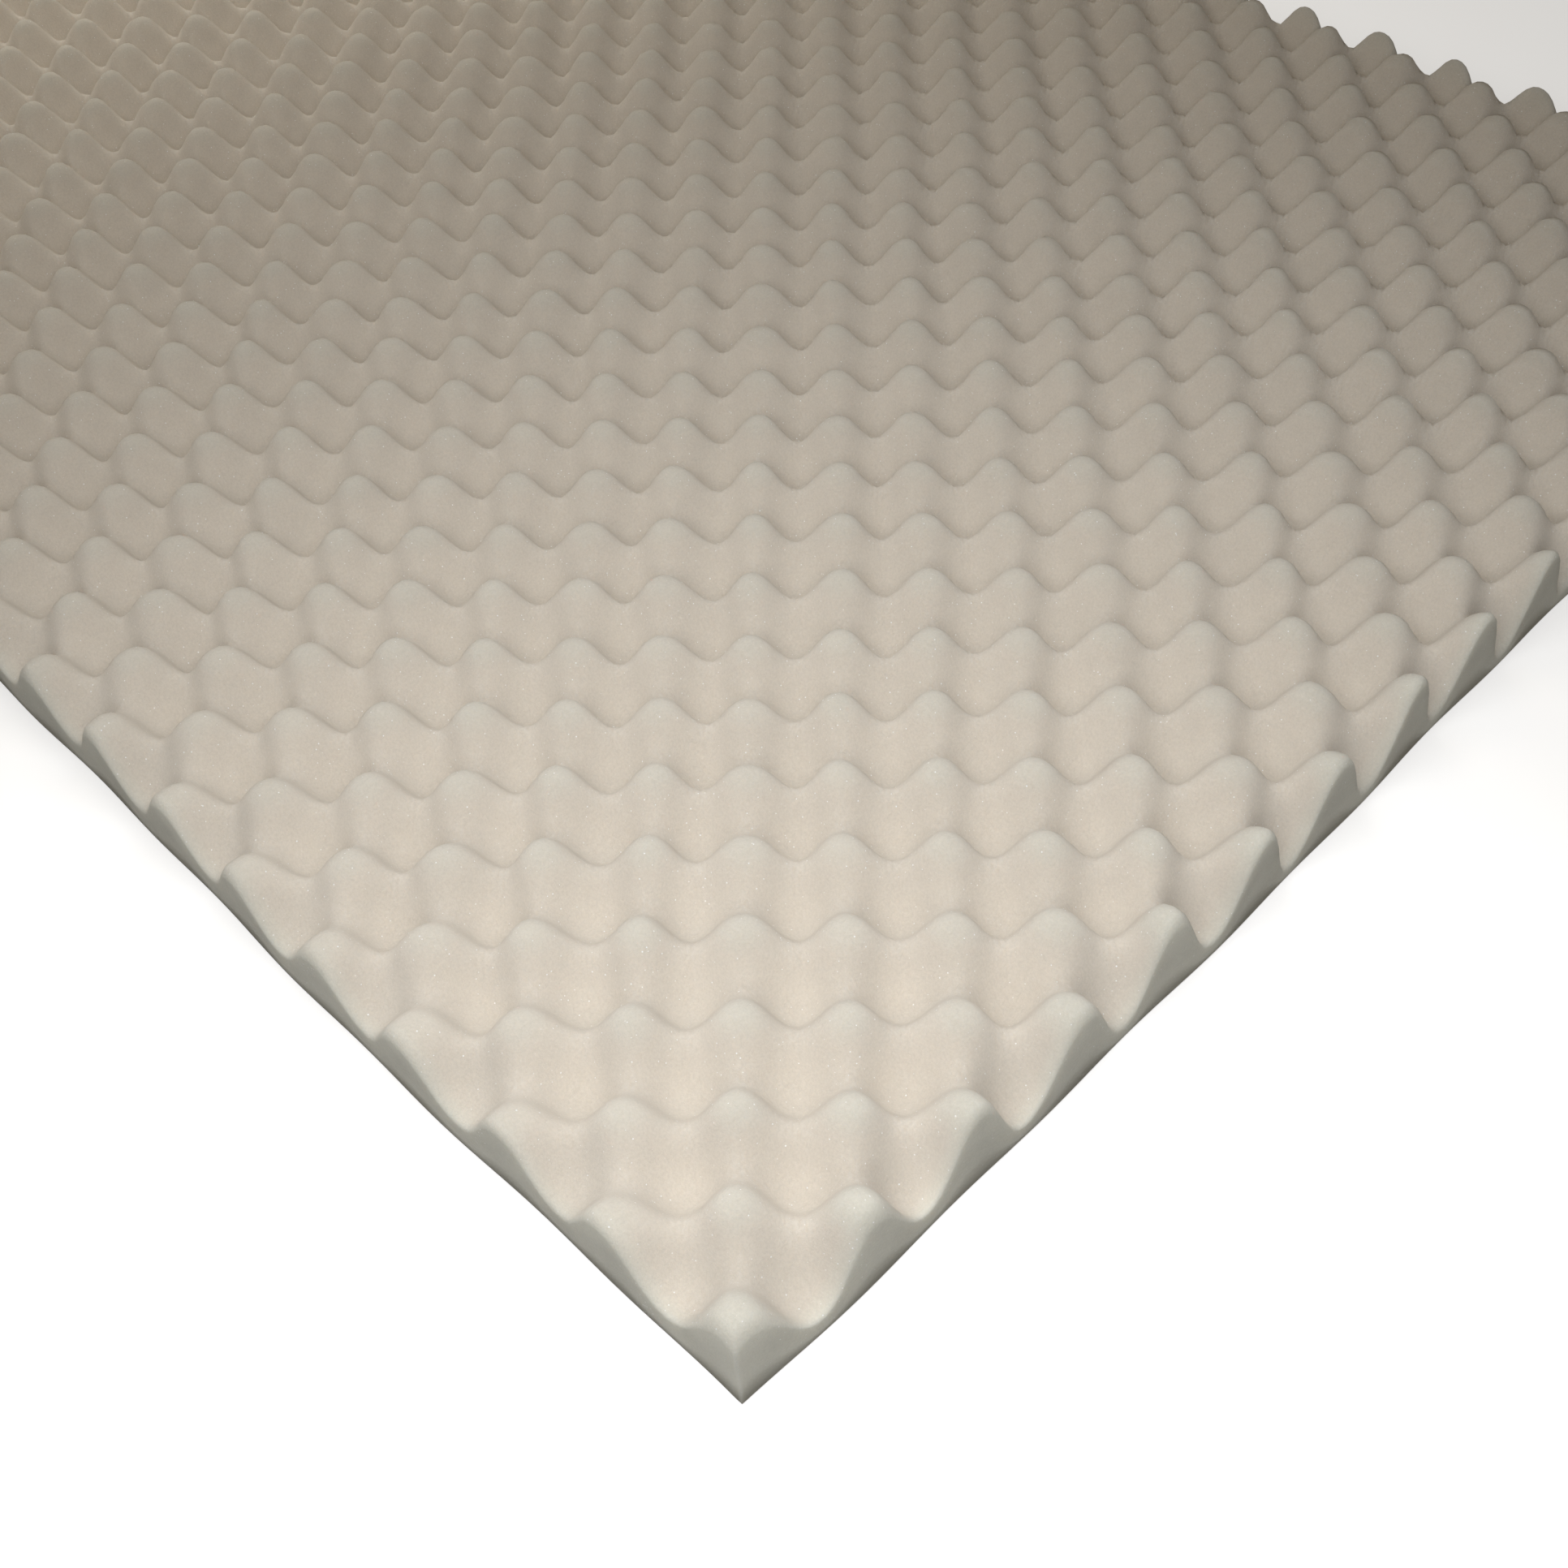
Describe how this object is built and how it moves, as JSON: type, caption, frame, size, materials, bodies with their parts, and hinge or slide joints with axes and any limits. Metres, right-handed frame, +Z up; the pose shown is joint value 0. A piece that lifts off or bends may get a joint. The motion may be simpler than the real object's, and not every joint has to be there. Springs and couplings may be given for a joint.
{
  "type": "foam mattress topper",
  "caption": "Flat sheet of cream convoluted foam, egg-crate peaks and valleys on its upper face, smooth underside and straight cut edges, laid on a mattress.",
  "frame": {"origin": "middle of the flat underside", "axes": "+Z up through the foam, +X across the width, +Y along the length; the picture's near corner is at -X, -Y"},
  "size_m": [0.9, 1.9, 0.05],
  "materials": {
    "foam": "matte open-cell polyurethane foam, cream"
  },
  "bodies": {
    "root": {"foam_sheet": "foam"}
  },
  "joints": []
}
